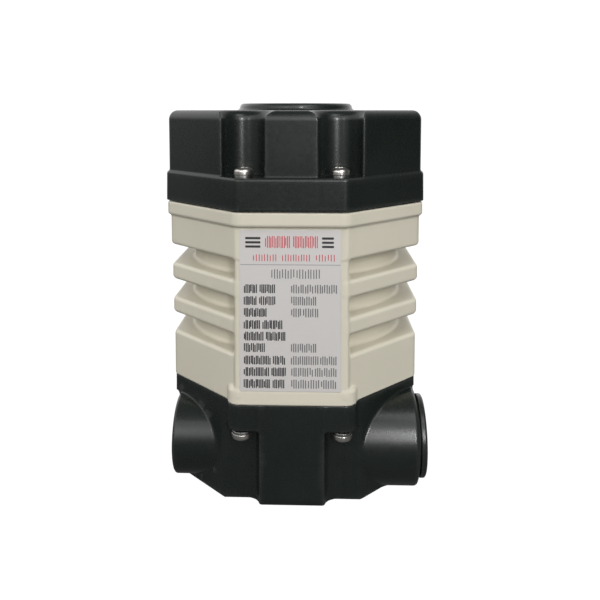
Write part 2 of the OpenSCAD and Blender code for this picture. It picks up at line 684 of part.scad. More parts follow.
base_housing();
body_housing();
top_cover();
base_gasket();
cover_gasket();
cover_screws();
cover_lock_washers();
base_screws();
base_lock_washers();
nameplate();
indicator_window();
window_seal();
window_clamp_ring();
indicator_dial();
dial_screw();
output_shaft();
output_gear();
shaft_seal();
lower_bush();
upper_bush();
lower_gear_plate();
upper_gear_plate();
gear_pillars();
plate_screws();
gear_spindle();
thrust_washers();
pinion_4();
wheel_4();
pinion_3();
wheel_3();
pinion_2();
wheel_2();
pinion_1();
wheel_1();
motor_pinion();
rotor_shaft();
rotor_magnet();
motor_can();
motor_flange();
stator_bobbin();
stator_winding();
motor_screws();
run_capacitor();
capacitor_clip();
space_heater();
deck_standoffs();
switch_deck();
cam_sleeve();
limit_cams();
cam_set_screws();
limit_switches();
open_switch_lever();
close_switch_lever();
terminal_block();
terminal_screws();
wiring_harness();
override_spindle();
override_pinion();
conduit_plug();
plug_seal();
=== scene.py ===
# Looks of the motorized valve actuator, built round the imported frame.
import json
import math

import bpy
import numpy as np
from mathutils import Matrix, Vector


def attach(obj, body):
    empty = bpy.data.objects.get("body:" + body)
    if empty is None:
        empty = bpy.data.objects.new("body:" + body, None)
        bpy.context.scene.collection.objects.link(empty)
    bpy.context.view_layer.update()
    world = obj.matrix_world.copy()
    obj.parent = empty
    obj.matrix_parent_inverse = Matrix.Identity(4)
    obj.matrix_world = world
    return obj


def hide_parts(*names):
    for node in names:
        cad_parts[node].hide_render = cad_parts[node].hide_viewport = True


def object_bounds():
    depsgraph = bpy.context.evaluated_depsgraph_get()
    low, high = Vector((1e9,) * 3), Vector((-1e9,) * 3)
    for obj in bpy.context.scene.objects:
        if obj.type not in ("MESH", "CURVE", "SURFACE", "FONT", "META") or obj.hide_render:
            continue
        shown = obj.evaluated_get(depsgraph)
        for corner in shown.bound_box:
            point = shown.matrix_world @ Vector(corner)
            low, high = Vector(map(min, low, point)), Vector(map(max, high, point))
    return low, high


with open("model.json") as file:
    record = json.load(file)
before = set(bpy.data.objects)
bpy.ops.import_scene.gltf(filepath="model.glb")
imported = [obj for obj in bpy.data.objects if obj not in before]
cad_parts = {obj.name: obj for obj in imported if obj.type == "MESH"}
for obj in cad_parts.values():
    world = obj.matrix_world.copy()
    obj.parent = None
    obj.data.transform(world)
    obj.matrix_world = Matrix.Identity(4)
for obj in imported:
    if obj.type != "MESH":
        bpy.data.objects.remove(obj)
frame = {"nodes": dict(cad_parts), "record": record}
CAD_BOX = [[float(v) for v in corner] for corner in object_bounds()]
MM = 0.001
ROOT = "housing"

# ------------------------------------------------------------------ solids
# Shapes are distance fields in millimetres, meshed with surface nets, so cast
# edges and the fillets between features have real radii.


def smin(a, b, k):
    h = np.maximum(k - np.abs(a - b), 0.0) / k
    return np.minimum(a, b) - h * h * (k * 0.25)


def smax(a, b, k):
    return -smin(-a, -b, k)


def rint(a, b, r):
    """Intersection of two fields with a true edge radius."""
    a, b = a + r, b + r
    return np.minimum(np.maximum(a, b), 0.0) + np.sqrt(np.maximum(a, 0.0) ** 2 + np.maximum(b, 0.0) ** 2) - r


def runi(a, b, r):
    """Union of two fields with a true fillet radius."""
    return -rint(-a, -b, r)


def rcut(a, b, r):
    """Takes b out of a, with radius r on the new edges."""
    return rint(a, -b, r)


def octa(x, y, a, r=0.0):
    a = a - r
    px, py = np.abs(x) + 0 * y, np.abs(y) + 0 * x
    kx, ky, kz = 0.9238795325, 0.3826834323, 0.4142135623
    d = np.minimum(-kx * px + ky * py, 0.0)
    px, py = px + 2 * d * kx, py - 2 * d * ky
    d = np.minimum(kx * px + ky * py, 0.0)
    px, py = px - 2 * d * kx, py - 2 * d * ky
    px = px - np.clip(px, -kz * a, kz * a)
    py = py - a
    return np.sqrt(px * px + py * py) * np.where(py < 0, -1.0, 1.0) - r


def octs(x, y, a, b, r):
    """Octagon with flats at a and slanted faces at b, corner radius r."""
    c = 0.70710678
    ax_, ay_ = np.abs(x) + 0 * y, np.abs(y) + 0 * x
    u = np.maximum(ax_, ay_) - a + r
    v = (ax_ + ay_) * c - b + r
    corner = (u > v * c) & (v > u * c)
    return np.where(corner, np.sqrt(np.maximum(u * u + v * v - 2 * u * v * c, 0.0) * 2.0), np.maximum(u, v)) - r


def rbox(x, y, x0, y0, x1, y1, r=0.0):
    qx = np.abs(x - (x0 + x1) / 2) - ((x1 - x0) / 2 - r)
    qy = np.abs(y - (y0 + y1) / 2) - ((y1 - y0) / 2 - r)
    return np.minimum(np.maximum(qx, qy), 0.0) + np.sqrt(np.maximum(qx, 0.0) ** 2 + np.maximum(qy, 0.0) ** 2) - r


def disc(x, y, cx, cy, r):
    return np.sqrt((x - cx) ** 2 + (y - cy) ** 2) - r


def ext(d, z, z0, z1, rb=0.0, rt=0.0):
    """Prism of a plan field between two heights, with bottom and top edge radii."""
    return rint(rint(d, z - z1, rt), z0 - z, rb)


def nets(f, lo, hi, h, steps=3):
    """Vertices and quads of the zero surface of f in the box."""
    n = [int(math.ceil((hi[i] - lo[i]) / h)) + 1 for i in range(3)]
    ax = [(lo[i] + h * np.arange(n[i])).astype(np.float32) for i in range(3)]
    F = np.empty(n, np.float32)
    slab = max(8, int(1.5e6 // (n[0] * n[1])))
    for k in range(0, n[2], slab):
        F[:, :, k : k + slab] = f(ax[0][:, None, None], ax[1][None, :, None], ax[2][None, None, k : k + slab])
    inside = F < 0
    cells, places, quads = [], [], []
    cn = np.array(n) - 1
    for axis in range(3):
        a = [slice(None)] * 3
        b = [slice(None)] * 3
        a[axis], b[axis] = slice(0, -1), slice(1, None)
        I = np.argwhere(inside[tuple(a)] != inside[tuple(b)])
        u, v = (axis + 1) % 3, (axis + 2) % 3
        I = I[(I[:, u] >= 1) & (I[:, v] >= 1) & (I[:, u] < cn[u]) & (I[:, v] < cn[v])]
        J = I.copy()
        J[:, axis] += 1
        f0, f1 = F[tuple(I.T)], F[tuple(J.T)]
        P = I.astype(np.float64)
        P[:, axis] += f0 / (f0 - f1)
        four = []
        for du, dv in ((0, 0), (-1, 0), (-1, -1), (0, -1)):
            C = I.copy()
            C[:, u] += du
            C[:, v] += dv
            c = (C[:, 0] * cn[1] + C[:, 1]) * cn[2] + C[:, 2]
            four.append(c)
            cells.append(c)
            places.append(P)
        Q = np.stack(four, 1)
        back = f0 >= 0
        Q[back] = Q[back][:, ::-1]
        quads.append(Q)
    cells = np.concatenate(cells)
    places = np.concatenate(places)
    ids, inv = np.unique(cells, return_inverse=True)
    count = np.bincount(inv)
    V = np.stack([np.bincount(inv, places[:, i]) / count for i in range(3)], 1)
    V = V * h + np.array(lo)[None, :]
    Q = np.searchsorted(ids, np.concatenate(quads))
    for _ in range(steps):
        d, g = slope(f, V)
        V = V - g * np.clip(d, -0.5 * h, 0.5 * h)[:, None]
    return V, Q


def slope(f, V, e=0.03):
    x, y, z = V[:, 0], V[:, 1], V[:, 2]
    d = f(x, y, z)
    g = np.stack(
        [f(x + e, y, z) - f(x - e, y, z), f(x, y + e, z) - f(x, y - e, z), f(x, y, z + e) - f(x, y, z - e)], 1
    )
    size = np.linalg.norm(g, axis=1)
    g = g / np.maximum(size, 1e-9)[:, None]
    return d / np.maximum(size / (2 * e), 0.3), g


def add_object(name, mesh):
    obj = bpy.data.objects.new(name, mesh)
    bpy.context.scene.collection.objects.link(obj)
    return obj


def make_mesh(name, V, faces):
    me = bpy.data.meshes.new(name)
    V = np.asarray(V, float) * MM
    faces = [tuple(int(i) for i in q) for q in faces]
    me.from_pydata([tuple(v) for v in V], [], faces)
    me.validate()
    me.update()
    return me


def smooth_all(me):
    me.polygons.foreach_set("use_smooth", np.ones(len(me.polygons), bool))
    me.update()


def solid(name, f, lo, hi, h, keep=0.3):
    """A meshed field as an object: nets, decimated on its flats, shaded with the field's own normals."""
    V, Q = nets(f, lo, hi, h)
    me = make_mesh(name, V, Q)
    obj = add_object(name, me)
    if keep < 1.0:
        mod = obj.modifiers.new("thin", "DECIMATE")
        mod.decimate_type = "COLLAPSE"
        mod.ratio = keep
        mod.use_collapse_triangulate = True
        dg = bpy.context.evaluated_depsgraph_get()
        done = bpy.data.meshes.new_from_object(obj.evaluated_get(dg))
        obj.modifiers.clear()
        obj.data = done
        bpy.data.meshes.remove(me)
        me = done
        me.name = name
    P = np.empty(len(me.vertices) * 3)
    me.vertices.foreach_get("co", P)
    P = P.reshape(-1, 3) / MM
    for _ in range(2):
        d, g = slope(f, P)
        P = P - g * np.clip(d, -0.3 * h, 0.3 * h)[:, None]
    d, g = slope(f, P, 0.08)
    me.vertices.foreach_set("co", (P * MM).ravel())
    smooth_all(me)
    me.normals_split_custom_set_from_vertices([tuple(v) for v in g])
    me.update()
    return obj


# ------------------------------------------------------------------ castings

Z_BASE, Z_FLANGE, Z_BOT, Z_BODY, Z_COVER, Z_CFL, Z_TOP, Z_RING = 34.0, 25.6, 2.0, 93.7, 94.1, 104.35, 125.2, 127.6
CON_Y, CON_Z = -21.2, 15.8
FLANGE_A, COVER_A = 44.41, 43.71
FRONT = 42.45
H_Y = -35.7
CS_X = 15.05


def cover_field(x, y, z):
    ay = np.abs(y)
    axx = np.abs(x)
    flange = ext(octs(x, y, FLANGE_A, FLANGE_A - 0.7, 3.0), z, Z_COVER, Z_CFL, 0.35, 1.0)
    # the upper part leans in a little towards its foot
    # and round pockets over the screws leave a centre block between them
    pocket = np.sqrt((axx - CS_X) ** 2 + (ay - 39.9) ** 2) - (7.35 + (z - Z_CFL) * 0.006)
    lean = (Z_TOP - z) * 0.014
    plan = rcut(octs(x, y, COVER_A - lean, COVER_A - 0.3 - lean, 2.6), pocket, 0.8)
    upper = ext(plan, z, Z_CFL - 4, Z_TOP, 0.2, 3.2)
    d = runi(flange, upper, 0.5)
    rr = 20.9 - (z - Z_TOP) * 0.22
    hump = rint(np.sqrt(x * x + y * y) - rr, z - Z_RING, 1.15)
    hump = np.maximum(hump, Z_TOP - 3 - z)
    d = runi(d, hump, 0.8)
    hollow = np.maximum(octa(x, y, 39.9, 4.0), ay - 31.0)
    hollow = ext(hollow, z, Z_COVER - 5, 121.6, 0.0, 2.0)
    d = np.maximum(d, -hollow)
    r = np.sqrt(x * x + y * y)
    d = rcut(d, np.maximum(r - 18.6, 123.4 - z), 0.5)
    d = np.maximum(d, -(r - 14.5))
    holes = np.sqrt((axx - CS_X) ** 2 + (ay - 39.9) ** 2) - 1.7
    d = np.maximum(d, -np.maximum(holes, z - Z_CFL - 2))
    return d


def body_field(x, y, z):
    ay = np.abs(y)
    axx = np.abs(x)
    low = ext(octa(x, y, 41.45 + (z - 48.4) * 0.010 + 0.1, 4.0), z, Z_BASE, 49.1, 0.3, 1.2)
    fin1 = ext(octa(x, y, 41.98, 4.5), z, 55.3, 60.7, 1.3, 1.2)
    fin2 = ext(octa(x, y, 42.28, 4.5), z, 66.9, 72.5, 1.3, 1.2)
    up = ext(octs(x, y, 42.86 + (z - 79.0) * 0.015, 42.41 + (z - 79.0) * 0.015, 5.0), z, 78.8, 92.0, 1.1, 0.3)
    rim = ext(octs(x, y, 44.10, 43.50, 5.0), z, 89.1, Z_BODY, 1.0, 0.5)
    core = np.maximum(np.sqrt(x * x + y * y) - 36.7, np.abs(z - 64) - 26)
    # everything between rim and foot stays behind the plane of the column
    skin = np.minimum(np.minimum(low, up), np.minimum(fin1, fin2))
    skin = np.maximum(skin, ay - FRONT)
    d = runi(skin, core, 1.2)
    side = np.clip((axx - 14.5) / 2.0, 0.0, 1.0)
    col = ext(rbox(axx, ay, -30.0, 28.0, 17.75, FRONT, 1.1), z, Z_BASE + 2, 91.0, 0.5, 0.5)
    d = runi(d, col, 0.03 + 0.75 * side)
    d = runi(d, rim, 0.6)
    pad = ext(rbox(axx, ay, -30.0, 30.0, 20.2, FRONT + 0.15, 3.8), z, Z_BASE, 39.3, 0.3, 1.6)
    d = runi(d, pad, 0.05 + 0.5 * side)
    d = np.maximum(d, -(np.sqrt(x * x + y * y) - 33.5))
    d = np.maximum(d, -np.maximum(disc(x, y, 0, H_Y, 4.3), z - 66.4))
    bs = np.maximum(np.sqrt((axx - 15.7) ** 2 + (ay - 39.9) ** 2) - 1.45, z - 46)
    cs = np.maximum(np.sqrt((axx - CS_X) ** 2 + (ay - 39.9) ** 2) - 1.45, 82 - z)
    return np.maximum(np.maximum(d, -bs), -cs)


def base_field(x, y, z):
    ay = np.abs(y)
    axx = np.abs(x)
    a = 41.15 - np.clip(34.0 - z, 0, 40) * 0.002
    main = ext(octa(x, y, a, 3.4), z, Z_BOT - 0.3, Z_BASE, 0.5, 0.3)
    # the front plane leans back a little below the pad and rolls under at the foot
    nose = rint(ay - (FRONT - np.clip(Z_FLANGE - z, 0, 40) * 0.026), Z_BOT - 0.1 - z, 3.0)
    main = np.maximum(main, nose)
    pad = ext(rbox(axx, ay, -30.0, 28.0, 20.2, FRONT, 3.8), z, Z_FLANGE, Z_BASE, 0.9, 0.3)
    scoop_plan = rbox(axx, ay, 10.3, 36.5, 40.0, 56.0, 4.2)
    scoop = ext(scoop_plan, z, -10.0, Z_FLANGE, 0.0, 0.8)
    head = np.maximum(disc(axx, ay, 15.7, 39.9, 3.5), z - Z_FLANGE)
    block = rint(axx - (11.0 - (34 - z) * 0.015), nose, 1.2)
    block = np.maximum(np.maximum(block, 28.0 - ay), z - Z_BASE)
    d = runi(main, block, 0.5)
    d = rcut(d, scoop, 0.7)
    side = np.clip((axx - 8.5) / 2.0, 0.0, 1.0)
    d = runi(d, pad, 0.02 + 0.7 * side)
    d = np.maximum(d, -head)
    rb = np.sqrt((y - CON_Y) ** 2 + (z - CON_Z) ** 2)
    left = rint(rb - 12.7 + 0 * x, np.maximum(-x - 39.25, x), 1.0)
    right = rint(rb - 15.2 + 0 * x, np.maximum(x - 40.55, -x), 1.3)
    spot_l = rint(rb - 13.0, x + 39.25, 0.3)
    spot_r = rint(rb - 15.4, 40.55 - x, 0.3)
    d = rcut(d, spot_l, 0.3)
    d = rcut(d, spot_r, 0.3)
    d = runi(d, left, 0.5)
    d = runi(d, right, 0.5)
    d = np.maximum(d, z - Z_BASE)
    foot = ext(np.sqrt(x * x + y * y) - 31.0, z, 0.0, Z_BOT + 2, 0.5, 0.3)
    d = runi(d, foot, 0.8)
    r = np.sqrt(x * x + y * y)
    # chamber
    hub = r - 16.5
    cham = np.maximum(np.maximum(octa(x, y, 36.3, 4.0), np.maximum(y - 31.5, -31.0 - y)), 18 - z)
    low = ext(rbox(x, y, -25.5, -31.0, 25.5, -17.0, 3.0), z, 11.0, 40.0, 1.5, 0.0)
    cham = np.minimum(cham, low)
    cham = np.maximum(cham, -hub)
    for px, py in ((22.5, -7), (-22.5, -7), (18, 21), (-18, 21)):
        cham = np.maximum(cham, -disc(x, y, px, py, 3.5))
    d = np.maximum(d, -cham)
    d = rcut(d, r - 12.5 + 0 * z, 0.3)
    d = rcut(d, np.maximum(r - 17.5, z - 1.5), 0.3)
    hx = np.abs(axx - 17.678)
    hy = np.abs(ay - 17.678)
    d = rcut(d, np.maximum(np.sqrt(hx * hx + hy * hy) - 2.6, z - 10.0), 0.35)
    # conduit entries and wiring passage
    d = rcut(d, np.maximum(rb - 9.25, 27.0 - axx), 0.5)
    rp = np.sqrt((y - CON_Y + 2.2) ** 2 + (z - CON_Z - 1.0) ** 2)
    d = np.maximum(d, -np.maximum(rp - 5.5, axx - 30.0))
    d = rcut(d, np.maximum(disc(x, y, 0, H_Y, 2.85), z - 31.0), 0.3)
    d = np.maximum(d, -np.maximum(disc(x, y, 0, H_Y, 4.1), 30.0 - z))
    groove = np.maximum(np.maximum(octa(x, y, 39.3, 4.0), -octa(x, y, 37.9, 4.0)), 32.5 - z)
    groove = np.maximum(groove, np.where((axx < 22.0) & (ay > 30.0), 1.0, -1.0))
    d = np.maximum(d, -groove)
    bs = np.sqrt((axx - 15.7) ** 2 + (ay - 39.9) ** 2) - 1.7
    d = np.maximum(d, -np.maximum(bs, Z_FLANGE - 2 - z))
    return d


# ------------------------------------------------------------------ mesh helpers


def lathe(name, profile, n=96, closed=True, axis="z", at=(0, 0, 0), sharp=35.0):
    """Surface of revolution from (radius, height) points in mm; a point at radius 0 closes an end."""
    V, F, rings = [], [], []
    for r, z in profile:
        if r < 1e-6:
            rings.append([len(V)])
            V.append((0.0, 0.0, z))
        else:
            rings.append(list(range(len(V), len(V) + n)))
            V += [(r * math.cos(2 * math.pi * i / n), r * math.sin(2 * math.pi * i / n), z) for i in range(n)]
    pairs = list(zip(rings, rings[1:]))
    if closed:
        pairs.append((rings[-1], rings[0]))
    for a, b in pairs:
        if len(a) == 1 and len(b) == 1:
            continue
        for i in range(n):
            j = (i + 1) % n
            if len(a) == 1:
                F.append((a[0], b[j], b[i]))
            elif len(b) == 1:
                F.append((a[i], a[j], b[0]))
            else:
                F.append((a[i], a[j], b[j], b[i]))
    V = np.array(V)
    if axis == "x":
        V = V[:, [2, 0, 1]]
    V = V + np.array(at)
    me = make_mesh(name, V, F)
    fix_normals(me)
    smooth_all(me)
    me.set_sharp_from_angle(angle=math.radians(sharp))
    return add_object(name, me)


def fix_normals(me):
    import bmesh

    bm = bmesh.new()
    bm.from_mesh(me)
    bmesh.ops.remove_doubles(bm, verts=bm.verts, dist=1e-7)
    bmesh.ops.recalc_face_normals(bm, faces=bm.faces)
    bm.to_mesh(me)
    bm.free()


def arc(cx, cy, r, a0, a1, n=6):
    return [
        (cx + r * math.cos(math.radians(a0 + (a1 - a0) * i / n)), cy + r * math.sin(math.radians(a0 + (a1 - a0) * i / n)))
        for i in range(n + 1)
    ]


def join(name, objs):
    bpy.ops.object.select_all(action="DESELECT")
    for o in objs:
        o.select_set(True)
    bpy.context.view_layer.objects.active = objs[0]
    bpy.ops.object.join()
    objs[0].name = name
    objs[0].data.name = name
    return objs[0]


def placed(obj, places, name):
    """Copies of one mesh at the given 4x4 places, joined into one object."""
    out = []
    for m in places:
        o = add_object(name, obj.data.copy())
        o.data.transform(m)
        if m.determinant() < 0:
            o.data.flip_normals()
        out.append(o)
    bpy.data.objects.remove(obj)
    return join(name, out)


def strip(name, pts, y0, y1, r=0.0):
    """A flat shape in the XZ plane, extruded from y0 to y1 (towards -Y)."""
    n = len(pts)
    V = [(x, y0, z) for x, z in pts] + [(x, y1, z) for x, z in pts]
    F = [tuple(range(n)), tuple(range(2 * n - 1, n - 1, -1))]
    F += [(i, i + n, (i + 1) % n + n, (i + 1) % n) for i in range(n)]
    return V, F


def rrect(x0, z0, x1, z1, r, n=4):
    pts = []
    for cx, cz, a in ((x1 - r, z1 - r, 0), (x0 + r, z1 - r, 90), (x0 + r, z0 + r, 180), (x1 - r, z0 + r, 270)):
        pts += arc(cx, cz, r, a, a + 90, n)
    return pts


# ------------------------------------------------------------------ materials


class Nodes:
    """Short way to wire a node material."""

    def __init__(self, name):
        self.mat = bpy.data.materials.new(name)
        self.mat.use_nodes = True
        self.t = self.mat.node_tree
        self.t.nodes.clear()
        self.out = self.t.nodes.new("ShaderNodeOutputMaterial")
        self.b = self.t.nodes.new("ShaderNodeBsdfPrincipled")
        self.t.links.new(self.b.outputs[0], self.out.inputs[0])
        self.coord = self.t.nodes.new("ShaderNodeTexCoord")

    def link(self, a, b):
        self.t.links.new(a, b)

    def noise(self, scale, detail=3.0, rough=0.55, stretch=None):
        n = self.t.nodes.new("ShaderNodeTexNoise")
        n.inputs["Scale"].default_value = scale
        n.inputs["Detail"].default_value = detail
        n.inputs["Roughness"].default_value = rough
        src = self.coord.outputs["Object"]
        if stretch:
            m = self.t.nodes.new("ShaderNodeMapping")
            m.inputs["Scale"].default_value = stretch
            self.link(src, m.inputs["Vector"])
            src = m.outputs[0]
        self.link(src, n.inputs["Vector"])
        return n.outputs["Fac"]

    def ramp(self, fac, lo, hi, a, b):
        m = self.t.nodes.new("ShaderNodeMapRange")
        m.clamp = True
        for k, v in (("From Min", lo), ("From Max", hi), ("To Min", a), ("To Max", b)):
            m.inputs[k].default_value = v
        self.link(fac, m.inputs["Value"])
        return m.outputs[0]

    def math(self, op, a, b):
        m = self.t.nodes.new("ShaderNodeMath")
        m.operation = op
        for i, v in enumerate((a, b)):
            if isinstance(v, (int, float)):
                m.inputs[i].default_value = v
            else:
                self.link(v, m.inputs[i])
        return m.outputs[0]

    def mix(self, fac, a, b):
        m = self.t.nodes.new("ShaderNodeMix")
        m.data_type = "RGBA"
        if isinstance(fac, (int, float)):
            m.inputs[0].default_value = fac
        else:
            self.link(fac, m.inputs[0])
        for k, v in ((6, a), (7, b)):
            if isinstance(v, tuple):
                m.inputs[k].default_value = (*v[:3], 1.0)
            else:
                self.link(v, m.inputs[k])
        return m.outputs[2]

    def bump(self, height, strength, dist):
        n = self.t.nodes.new("ShaderNodeBump")
        n.inputs["Strength"].default_value = strength
        n.inputs["Distance"].default_value = dist
        self.link(height, n.inputs["Height"])
        self.link(n.outputs[0], self.b.inputs["Normal"])
        return n

    # painted highlight: a mask of convex edges from Pointiness, used to lighten the paint colour there
    def edge(self, lo=0.505, hi=0.56):
        g = self.t.nodes.new("ShaderNodeNewGeometry")
        return self.ramp(g.outputs["Pointiness"], lo, hi, 0.0, 1.0)

    def set(self, **kw):
        names = {
            "metal": "Metallic",
            "rough": "Roughness",
            "coat": "Coat Weight",
            "coat_rough": "Coat Roughness",
            "spec": "Specular IOR Level",
            "ior": "IOR",
            "glass": "Transmission Weight",
            "aniso": "Anisotropic",
            "sheen": "Sheen Weight",
        }
        for k, v in kw.items():
            self.b.inputs[names[k]].default_value = v


def painted(name, colour, rough, grain=900.0, depth=0.00003, strength=0.35, shade=0.10, coat=0.0, edge=None, spec=0.5, spread=0.05):
    n = Nodes(name)
    broad = n.noise(38.0, 4.0)
    fine = n.noise(grain, 3.0)
    dark = tuple(c * (1 - shade) for c in colour)
    light = tuple(min(1.0, c * (1 + shade)) for c in colour)
    col = n.mix(n.ramp(broad, 0.35, 0.65, 0, 1), dark, light)
    speck = n.ramp(n.noise(grain * 1.7, 2.0), 0.68, 0.80, 0.0, 0.35)
    col = n.mix(speck, col, tuple(c * 0.72 for c in colour))
    # painted highlight: convex edges are mixed towards a lighter edge colour
    if edge:
        col = n.mix(n.math("MULTIPLY", n.edge(), edge[1]), col, edge[0])
    n.link(col, n.b.inputs["Base Color"])
    n.link(n.ramp(n.math("ADD", n.math("MULTIPLY", broad, 0.5), n.math("MULTIPLY", fine, 0.5)), 0.3, 0.7, rough - spread, rough + spread), n.b.inputs["Roughness"])
    n.set(coat=coat, coat_rough=0.12, spec=spec)
    n.bump(n.math("ADD", fine, n.math("MULTIPLY", broad, 2.0)), strength, depth)
    return n.mat


def metal(name, colour, rough, stretch=(1, 1, 30), grain=400.0, strength=0.25, spread=0.06, tarnish=0.12):
    n = Nodes(name)
    lines = n.noise(grain, 3.0, 0.6, stretch)
    broad = n.noise(60.0, 4.0)
    col = n.mix(n.ramp(broad, 0.3, 0.7, 0, 1), tuple(c * (1 - tarnish) for c in colour), colour)
    n.link(col, n.b.inputs["Base Color"])
    n.link(n.ramp(lines, 0.25, 0.75, rough - spread, rough + spread), n.b.inputs["Roughness"])
    n.set(metal=1.0)
    n.bump(lines, strength, 0.00001)
    return n.mat


def plastic(name, colour, rough, grain=1600.0, shade=0.08, spec=0.5, strength=0.2):
    return painted(name, colour, rough, grain, 0.00002, strength, shade, 0.0, None, spec)


def foil_material():
    """Matt silver printed foil: mostly diffuse, with a faint brushed grain."""
    n = Nodes("nameplate_foil")
    lines = n.noise(260.0, 3.0, 0.6, (1, 1, 60))
    col = n.mix(n.ramp(lines, 0.3, 0.7, 0, 1), (0.610, 0.588, 0.572), (0.642, 0.620, 0.604))
    n.link(col, n.b.inputs["Base Color"])
    n.link(n.ramp(n.noise(50.0, 3.0), 0.3, 0.7, 0.38, 0.46), n.b.inputs["Roughness"])
    n.set(metal=0.12, spec=0.5)
    n.bump(lines, 0.10, 0.00001)
    return n.mat


M = {
    # the last tuple of each cast finish is a painted highlight: a lighter colour laid on convex edges
    "black_cast": painted("black_cast_enamel", (0.0100, 0.0135, 0.0115), 0.28, 700.0, 0.00004, 0.30, 0.10, 0.10, ((0.05, 0.055, 0.05), 0.5)),
    "beige_cast": painted("beige_powder_coat", (0.640, 0.604, 0.496), 0.46, 800.0, 0.00004, 0.30, 0.02, 0.0, ((0.70, 0.67, 0.57), 0.30)),
    "nickel": metal("bright_nickel", (0.86, 0.83, 0.78), 0.30, (1, 1, 1), 900.0, 0.08, 0.05, 0.08),
    "washer_steel": metal("spring_steel", (0.60, 0.60, 0.58), 0.28, (1, 1, 8), 700.0, 0.2),
    "plate_foil": foil_material(),
    "seal_rubber": painted("seal_rubber", (0.010, 0.010, 0.010), 0.62, 1500.0, 0.00003, 0.5, 0.15),
    "dial_red": plastic("dial_red_plastic", (0.55, 0.035, 0.02), 0.38),
    "dial_white": plastic("dial_white_plastic", (0.74, 0.73, 0.68), 0.42),
    "dial_green": plastic("dial_green_ink", (0.03, 0.28, 0.08), 0.45),
    "dial_ink": plastic("dial_black_ink", (0.012, 0.012, 0.012), 0.5),
    "shaft_steel": metal("ground_steel", (0.56, 0.56, 0.56), 0.24, (1, 1, 14), 500.0, 0.25),
    "sinter_steel": metal("sintered_steel", (0.34, 0.33, 0.32), 0.42, (1, 1, 1), 1500.0, 0.5),
    "bronze": metal("sintered_bronze", (0.66, 0.42, 0.20), 0.34, (1, 1, 1), 1400.0, 0.4),
    "zinc_plate": metal("zinc_plated_sheet", (0.66, 0.67, 0.68), 0.30, (20, 1, 1), 300.0, 0.2),
    "gear_brass": metal("gear_brass", (0.78, 0.57, 0.26), 0.26, (1, 1, 16), 500.0, 0.25),
    "gear_nylon": plastic("natural_nylon", (0.78, 0.76, 0.66), 0.45),
    "magnet": painted("ferrite_magnet", (0.055, 0.055, 0.058), 0.55, 1200.0, 0.00004, 0.5, 0.2),
    "bobbin": plastic("bobbin_plastic", (0.02, 0.02, 0.022), 0.45),
    "copper": metal("enamelled_copper", (0.72, 0.32, 0.13), 0.30, (1, 1, 40), 700.0, 0.9, 0.08),
    "cap_white": plastic("capacitor_plastic", (0.72, 0.70, 0.63), 0.35),
    "heater_gold": metal("anodised_gold", (0.74, 0.58, 0.26), 0.33, (12, 1, 1), 400.0, 0.2),
    "deck_green": plastic("laminate_green", (0.02, 0.12, 0.05), 0.35),
    "cam_red": plastic("cam_red_plastic", (0.58, 0.04, 0.03), 0.40),
    "switch_black": plastic("switch_black_plastic", (0.016, 0.016, 0.018), 0.42),
    "terminal_green": plastic("terminal_green_plastic", (0.012, 0.13, 0.07), 0.40),
    "wire_red": plastic("wire_sleeving", (0.45, 0.02, 0.015), 0.48),
    "ink_red": plastic("print_red", (0.56, 0.035, 0.060), 0.55),
    "ink_dark": plastic("print_dark", (0.030, 0.028, 0.030), 0.55),
    "ink_grey": plastic("print_grey", (0.15, 0.145, 0.15), 0.55),
    "black_steel": metal("black_oxide_steel", (0.035, 0.036, 0.038), 0.36, (1, 1, 14), 500.0, 0.25),
    "ink_line": plastic("print_line", (0.30, 0.29, 0.30), 0.55),
}


def window_material():
    n = Nodes("clear_window")
    haze = n.noise(90.0, 3.0)
    n.b.inputs["Base Color"].default_value = (0.93, 0.96, 0.97, 1.0)
    n.link(n.ramp(haze, 0.3, 0.7, 0.02, 0.06), n.b.inputs["Roughness"])
    n.set(glass=1.0, ior=1.46)
    n.bump(n.noise(30.0, 2.0), 0.05, 0.00002)
    return n.mat


M["clear_window"] = window_material()


def dress(obj, key):
    obj.data.materials.clear()
    obj.data.materials.append(M[key])
    return obj


slots = {s["node"]: s["material_slot"] for s in frame["record"]["subparts"]}
for node_name, obj in frame["nodes"].items():
    key = slots.get(node_name, "zinc_plate")
    if not obj.material_slots:
        obj.data.materials.append(M[key])
    for s in obj.material_slots:
        s.material = M[key]

# ------------------------------------------------------------------ castings as pieces

H = 0.5
cover = solid("cover_casting", cover_field, (-44.6, -44.6, 93.6), (44.6, 44.6, 128.2), H, 0.35)
body = solid("body_casting", body_field, (-44.6, -44.6, 33.5), (44.6, 44.6, 94.3), H, 0.35)
base = solid("base_casting", base_field, (-41.8, -43.3, -0.6), (41.8, 43.3, 34.6), H, 0.35)
for piece, node_name, key in ((cover, "top_cover", "black_cast"), (body, "body_housing", "beige_cast"), (base, "base_housing", "black_cast")):
    dress(piece, key)
    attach(piece, ROOT)
    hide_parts(node_name)

# ------------------------------------------------------------------ fasteners


